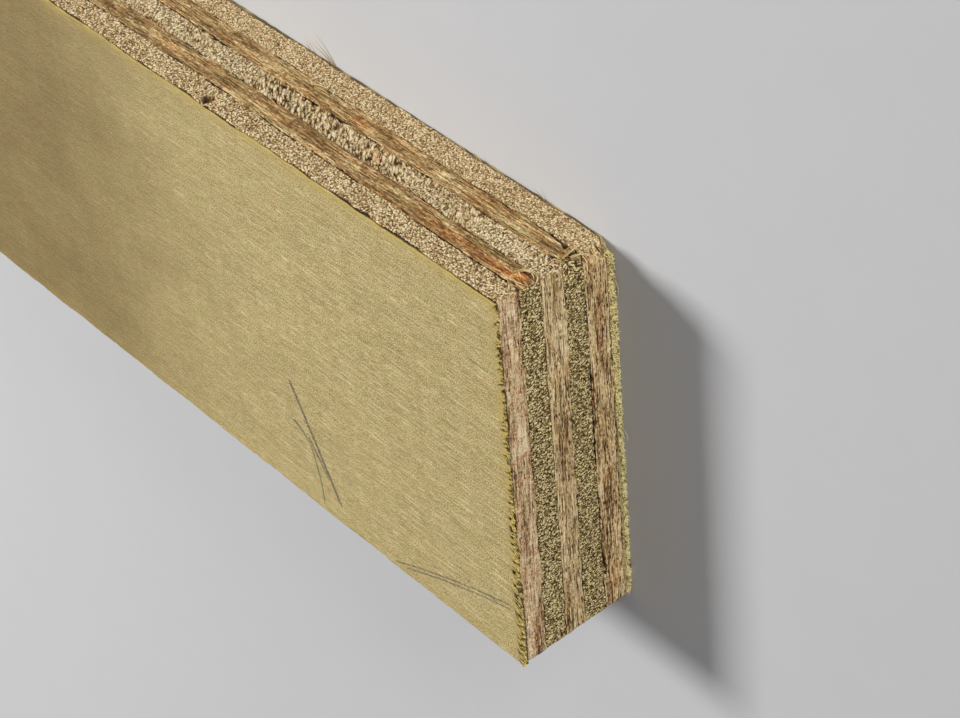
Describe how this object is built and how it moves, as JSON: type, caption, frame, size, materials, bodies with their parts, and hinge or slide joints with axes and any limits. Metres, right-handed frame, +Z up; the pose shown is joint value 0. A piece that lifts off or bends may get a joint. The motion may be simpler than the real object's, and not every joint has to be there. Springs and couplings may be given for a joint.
{
  "type": "plywood sheet",
  "caption": "Sawn strip of cross-banded plywood: thin face and back veneers over thick core plies whose grain turns from one to the next, with a slightly bevelled ripped edge.",
  "frame": {"origin": "under the middle of the strip, on the surface its back veneer lies on", "axes": "+X along the length and the face grain, towards the knocked end; +Y towards the clean long edge; +Z up out of the show face"},
  "size_m": [0.305, 0.056, 0.018],
  "materials": {
    "face_veneer": "sanded khaki-gold hardwood veneer with fine straight grain and pencil strokes",
    "back_veneer": "plain yellow-tan veneer, furred along its sawn edge",
    "cross_ply": "sawn pinkish-tan core ply, grain across the strip",
    "long_ply": "sawn brown core ply, grain along the strip"
  },
  "bodies": {
    "root": {"back_veneer": "back_veneer", "lower_cross_ply": "cross_ply", "lower_long_ply": "long_ply", "centre_cross_ply": "cross_ply", "upper_long_ply": "long_ply", "upper_cross_ply": "cross_ply", "face_veneer": "face_veneer"}
  },
  "joints": []
}
